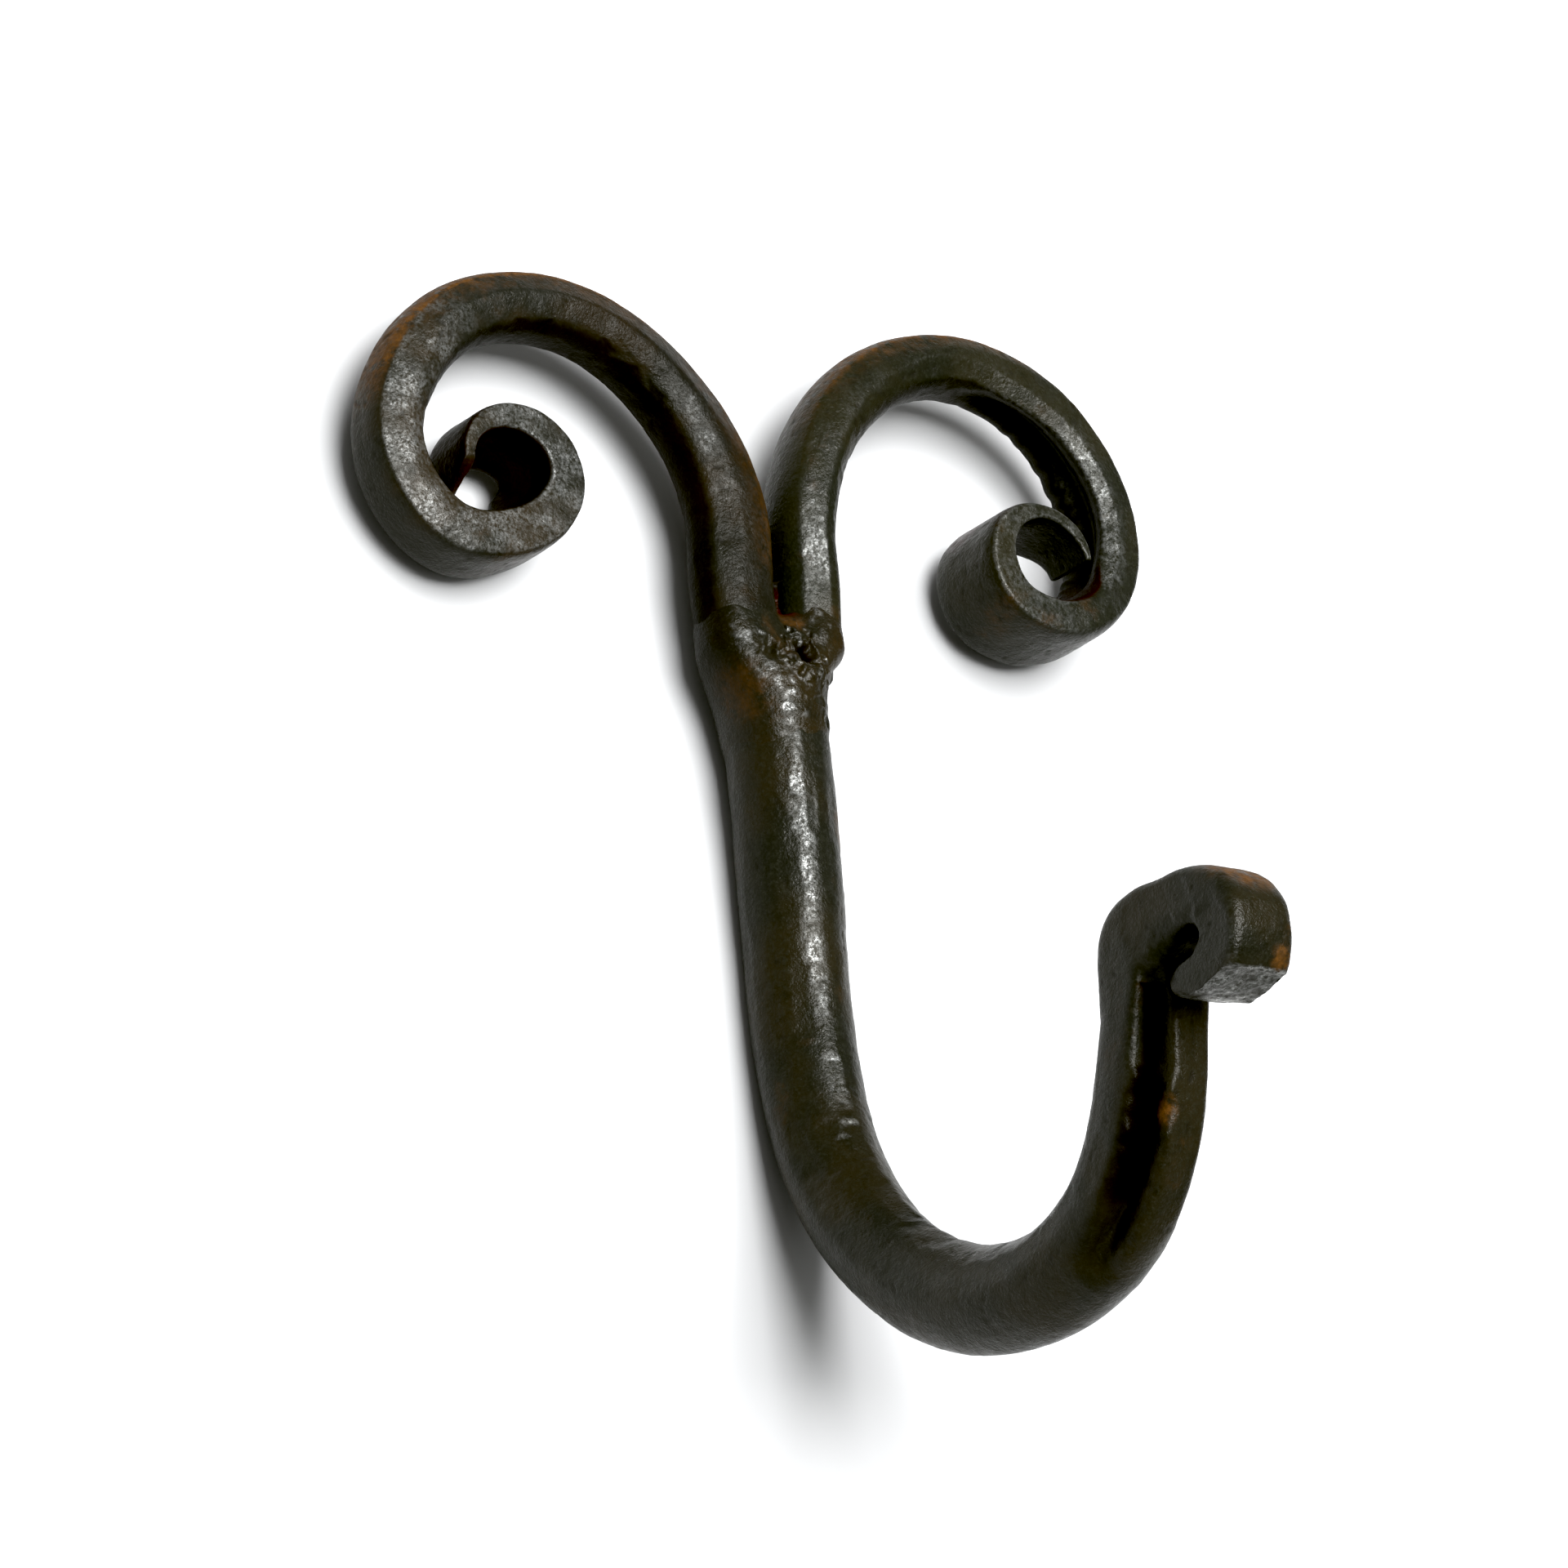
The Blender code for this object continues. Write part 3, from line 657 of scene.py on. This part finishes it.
# ======================================================================
#  Materials
# ======================================================================
def iron_material(name, base, brown, rough, seed):
    m = bpy.data.materials.new(name)
    m.use_nodes = True
    nt = m.node_tree
    nt.nodes.clear()
    N, L = nt.nodes, nt.links

    def node(kind, **sets):
        n = N.new(kind)
        for k, v in sets.items():
            if hasattr(n, k):
                setattr(n, k, v)
            else:
                n.inputs[k].default_value = v
        return n

    def math_(op, a, b=None, clamp=False):
        n = N.new('ShaderNodeMath')
        n.operation = op
        n.use_clamp = clamp
        for i, v in enumerate((a, b)):
            if v is None:
                continue
            if hasattr(v, 'is_linked'):
                L.new(v, n.inputs[i])
            else:
                n.inputs[i].default_value = v
        return n.outputs[0]

    def ramp(v, lo, hi, a=0.0, b=1.0):
        n = N.new('ShaderNodeMapRange')
        n.interpolation_type = 'SMOOTHSTEP'
        L.new(v, n.inputs['Value'])
        n.inputs['From Min'].default_value, n.inputs['From Max'].default_value = lo, hi
        n.inputs['To Min'].default_value, n.inputs['To Max'].default_value = a, b
        return n.outputs['Result']

    def mix(f, a, b):
        n = N.new('ShaderNodeMix')
        n.data_type = 'RGBA'
        if hasattr(f, 'is_linked'):
            L.new(f, n.inputs[0])
        else:
            n.inputs[0].default_value = f
        for s, v in ((6, a), (7, b)):
            if hasattr(v, 'is_linked'):
                L.new(v, n.inputs[s])
            else:
                n.inputs[s].default_value = (*v, 1.0)
        return n.outputs[2]

    def attr(key):
        n = N.new('ShaderNodeAttribute')
        n.attribute_name = key
        return n.outputs['Fac']

    where = N.new('ShaderNodeTexCoord').outputs['Object']
    mm = N.new('ShaderNodeVectorMath')
    mm.operation = 'SCALE'
    mm.inputs['Scale'].default_value = 1000.0
    L.new(where, mm.inputs[0])
    mm = mm.outputs[0]

    def cloud(scale, detail, roughness=0.55, shift=0.0):
        n = N.new('ShaderNodeTexNoise')
        n.noise_dimensions = '4D'
        L.new(mm, n.inputs['Vector'])
        n.inputs['W'].default_value = seed + shift
        n.inputs['Scale'].default_value = scale
        n.inputs['Detail'].default_value = detail
        n.inputs['Roughness'].default_value = roughness
        return n.outputs['Fac']

    wear_and_glint, rust, red, edge, pit, depth_and_shade = (attr(k) for k in ('wear_and_glint', 'rust', 'red', 'edge', 'pit', 'depth_and_shade'))
    wear_and_glint = math_('MULTIPLY', wear_and_glint, ramp(cloud(0.33, 5, 0.65, 61.0), 0.38, 0.60, 0.10, 0.90))
    big, mid, fine = cloud(0.11, 4), cloud(0.55, 5, 0.6, 3.1), cloud(3.4, 3, 0.6, 7.7)
    colour = mix(ramp(big, 0.40, 0.62), base, brown)
    colour = mix(ramp(mid, 0.52, 0.72, 0, 0.55), colour, tuple(c * 0.45 for c in base))
    colour = mix(math_('MULTIPLY', ramp(fine, 0.45, 0.7), 0.5), colour, tuple(c * 2.6 for c in base))
    # rust: in a few thin patches everywhere, and where the attribute asks for it
    patch = math_('ADD', rust, ramp(cloud(0.16, 5, 0.62, 15.0), 0.58, 0.76, 0, 0.4))
    patch = math_('MULTIPLY', patch, ramp(cloud(0.9, 5, 0.65, 21.0), 0.33, 0.58), clamp=True)
    rusty = mix(ramp(cloud(1.6, 4, 0.6, 27.0), 0.35, 0.7), (0.034, 0.015, 0.0035), (0.074, 0.030, 0.0055))
    colour = mix(patch, colour, rusty)
    colour = mix(math_('MULTIPLY', red, ramp(mid, 0.3, 0.6, 0.5, 1.0)), colour, (0.022, 0.0018, 0.0010))
    # bare metal on worn faces and along proud edges, and painted highlight: bare, shiny metal where the mask follows
    # the lamp's reflection
    grainy = ramp(cloud(2.6, 4, 0.75, 33.0), 0.38, 0.66, 0.0, 1.0)
    bare_and_glint = math_('ADD', math_('MULTIPLY', wear_and_glint, grainy), math_('MULTIPLY', ramp(edge, 0.10, 0.25), math_('MULTIPLY', grainy, 0.22)), clamp=True)
    colour = mix(bare_and_glint, colour, (0.205, 0.210, 0.205))
    colour = mix(math_('MULTIPLY', pit, 0.55), colour, (0.003, 0.0025, 0.0018))
    # painted shade: near-black where the shade attribute asks for it
    colour = mix(math_('MULTIPLY', depth_and_shade, 0.93), colour, (0.0014, 0.0006, 0.0005))

    r = math_('ADD', math_('MULTIPLY', cloud(1.7, 4, 0.6, 51.0), 0.44), rough - 0.30)
    r = math_('SUBTRACT', r, math_('MULTIPLY', bare_and_glint, 0.06))
    r = math_('ADD', r, math_('MULTIPLY', patch, 0.25))
    r = math_('ADD', r, math_('MULTIPLY', pit, 0.15), clamp=True)

    tall = math_('ADD', math_('MULTIPLY', fine, 0.085), math_('MULTIPLY', cloud(1.1, 4, 0.62, 41.0), 0.11))
    vor = N.new('ShaderNodeTexVoronoi')
    vor.feature = 'F1'
    L.new(mm, vor.inputs['Vector'])
    vor.inputs['Scale'].default_value = 1.9
    tall = math_('ADD', tall, math_('MULTIPLY', ramp(vor.outputs['Distance'], 0.0, 0.35), 0.012))
    bump = N.new('ShaderNodeBump')
    bump.inputs['Strength'].default_value = 1.0
    bump.inputs['Distance'].default_value = MM
    L.new(tall, bump.inputs['Height'])

    b = N.new('ShaderNodeBsdfPrincipled')
    L.new(colour, b.inputs['Base Color'])
    L.new(r, b.inputs['Roughness'])
    L.new(math_('MULTIPLY', bare_and_glint, 0.9), b.inputs['Metallic'])
    # the painted shade also takes the shine away
    L.new(math_('MULTIPLY', math_('SUBTRACT', 1.0, depth_and_shade, clamp=True), 0.105), b.inputs['Specular IOR Level'])
    b.inputs['Specular Tint'].default_value = (1.0, 0.99, 0.95, 1.0)
    L.new(bump.outputs['Normal'], b.inputs['Normal'])
    o = N.new('ShaderNodeOutputMaterial')
    L.new(b.outputs['BSDF'], o.inputs['Surface'])
    return m


iron = iron_material("forged_iron_skin", (0.0058, 0.0060, 0.0042), (0.0100, 0.0080, 0.0042), 0.40, 1.0)
worn_iron = iron_material("left_horn_skin", (0.0060, 0.0060, 0.0042), (0.0130, 0.0085, 0.0038), 0.42, 2.0)
horn_iron = iron_material("right_horn_skin", (0.0058, 0.0062, 0.0040), (0.0095, 0.0085, 0.0042), 0.40, 3.0)
bead = iron_material("weld_skin", (0.0058, 0.0058, 0.0040), (0.0115, 0.0080, 0.0036), 0.38, 4.0)
for piece, node_name, slot, mat in ((hook, "hook_shank", "forged_iron", iron), (left, "left_horn", "worn_iron", worn_iron),
                                    (right, "right_horn", "horn_iron", horn_iron), (weld, "fork_weld", "weld_metal", bead)):
    piece.data.materials.append(mat)
    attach(piece, "root")
    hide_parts(node_name)

# ======================================================================
#  Stage, light
# ======================================================================
def stage_material():
    m = bpy.data.materials.new("pale_surface")
    m.use_nodes = True
    nt = m.node_tree
    nt.nodes.clear()
    d = nt.nodes.new('ShaderNodeBsdfDiffuse')
    d.inputs['Color'].default_value = (0.47, 0.475, 0.48, 1)
    t = nt.nodes.new('ShaderNodeBsdfTransparent')
    g = nt.nodes.new('ShaderNodeNewGeometry')
    x = nt.nodes.new('ShaderNodeMixShader')
    nt.links.new(g.outputs['Backfacing'], x.inputs[0])
    nt.links.new(d.outputs[0], x.inputs[1])
    nt.links.new(t.outputs[0], x.inputs[2])
    o = nt.nodes.new('ShaderNodeOutputMaterial')
    nt.links.new(x.outputs[0], o.inputs['Surface'])
    return m


floor_mesh = bpy.data.meshes.new("pale_surface")
S, CREASE, LEAN = 4.0, -0.012, math.tan(math.radians(3.4))     # flat under the shank, then falling away a little behind the horns
floor_mesh.from_pydata([(x, 0.0003 + max(z - CREASE, 0) * LEAN, z) for z in (-S, CREASE, S) for x in (-S, S)],
                       [], [(0, 1, 3, 2), (2, 3, 5, 4)])
floor_mesh.update()
floor = bpy.data.objects.new("pale_surface", floor_mesh)
bpy.context.scene.collection.objects.link(floor)
floor_mesh.materials.append(stage_material())

world = bpy.data.worlds.new("soft_room")
world.use_nodes = True
bg = world.node_tree.nodes['Background']
bg.inputs['Color'].default_value = (1.0, 1.0, 1.0, 1)
bg.inputs['Strength'].default_value = 0.16
bpy.context.scene.world = world


def area(name, direction, distance, size, power, colour=(1, 1, 1)):
    light = bpy.data.lights.new(name, 'AREA')
    light.shape = 'RECTANGLE'
    light.size, light.size_y = size
    light.energy = power
    light.color = colour
    o = bpy.data.objects.new(name, light)
    d = Vector(direction).normalized()
    target = Vector((0.0, -0.01, -0.015))
    o.location = target + d * distance
    o.rotation_euler = (-d).to_track_quat('-Z', 'Y').to_euler()
    bpy.context.scene.collection.objects.link(o)
    return o


sheen = area("sheen", (0.02, -1.0, 0.16), 1.6, (0.54, 0.54), 62.0)
sheen.visible_diffuse = False                                 # it only makes the highlights
overhead = area("overhead", (-0.03, -1.0, 0.13), 1.6, (1.2, 1.2), 78.0)
overhead.visible_glossy = False
broad = area("broad", (0.10, -1.0, 0.20), 1.8, (3.2, 3.2), 20.0)
broad.visible_glossy = False                                  # it only fills the shadows

view = bpy.context.scene.view_settings
view.view_transform = 'Standard'
view.look = 'None'
view.exposure = 0.0
view.use_curve_mapping = True                                 # a touch of black level, less blue in the darks
view.curve_mapping.black_level = (0.0055, 0.0055, 0.0095)
